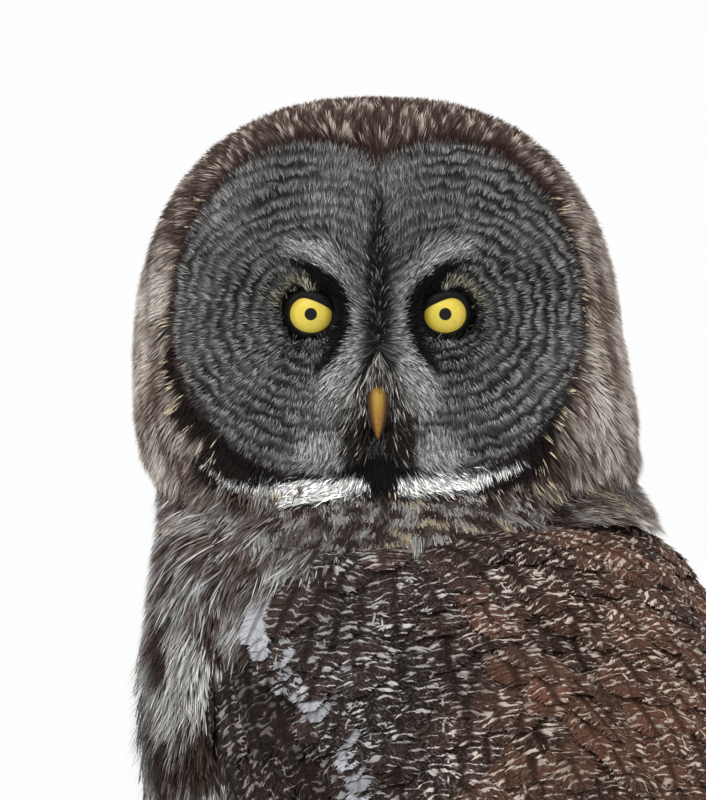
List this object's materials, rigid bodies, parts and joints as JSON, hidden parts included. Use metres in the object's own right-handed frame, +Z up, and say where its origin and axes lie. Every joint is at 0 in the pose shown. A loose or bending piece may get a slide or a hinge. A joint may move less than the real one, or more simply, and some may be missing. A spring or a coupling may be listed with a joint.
{
  "type": "great grey owl",
  "caption": "Life-size standing great grey owl, head turned over its back, with folded wings and long tail, as a still model.",
  "frame": {"origin": "on the floor, under the middle of the bird's bounding box", "axes": "+Z up; the body faces -Y, the bird's left side is +X, and the tail reaches back along +Y"},
  "size_m": [0.2124, 0.3862, 0.4698],
  "materials": {
    "plumage": "soft matte feathers, grey-brown with pale bars",
    "face_plumage": "fine matte feathers, grey with dark rings",
    "flight_feathers": "smooth vanes, dark brown with pale bars",
    "eye": "wet gloss, yellow iris with a small black pupil",
    "bill": "satin horn, yellow",
    "claw": "polished dark horn"
  },
  "bodies": {
    "root": {"head": "face_plumage", "eye_left": "eye", "eye_right": "eye", "bill_upper": "bill", "bill_lower": "bill", "neck": "plumage", "torso": "plumage", "wing_left": "flight_feathers", "wing_right": "flight_feathers", "tail": "flight_feathers", "leg_left": "plumage", "leg_right": "plumage", "foot_left": "plumage", "foot_right": "plumage", "claw_left_inner": "claw", "claw_left_middle": "claw", "claw_left_outer": "claw", "claw_left_hind": "claw", "claw_right_inner": "claw", "claw_right_middle": "claw", "claw_right_outer": "claw", "claw_right_hind": "claw"}
  },
  "joints": []
}
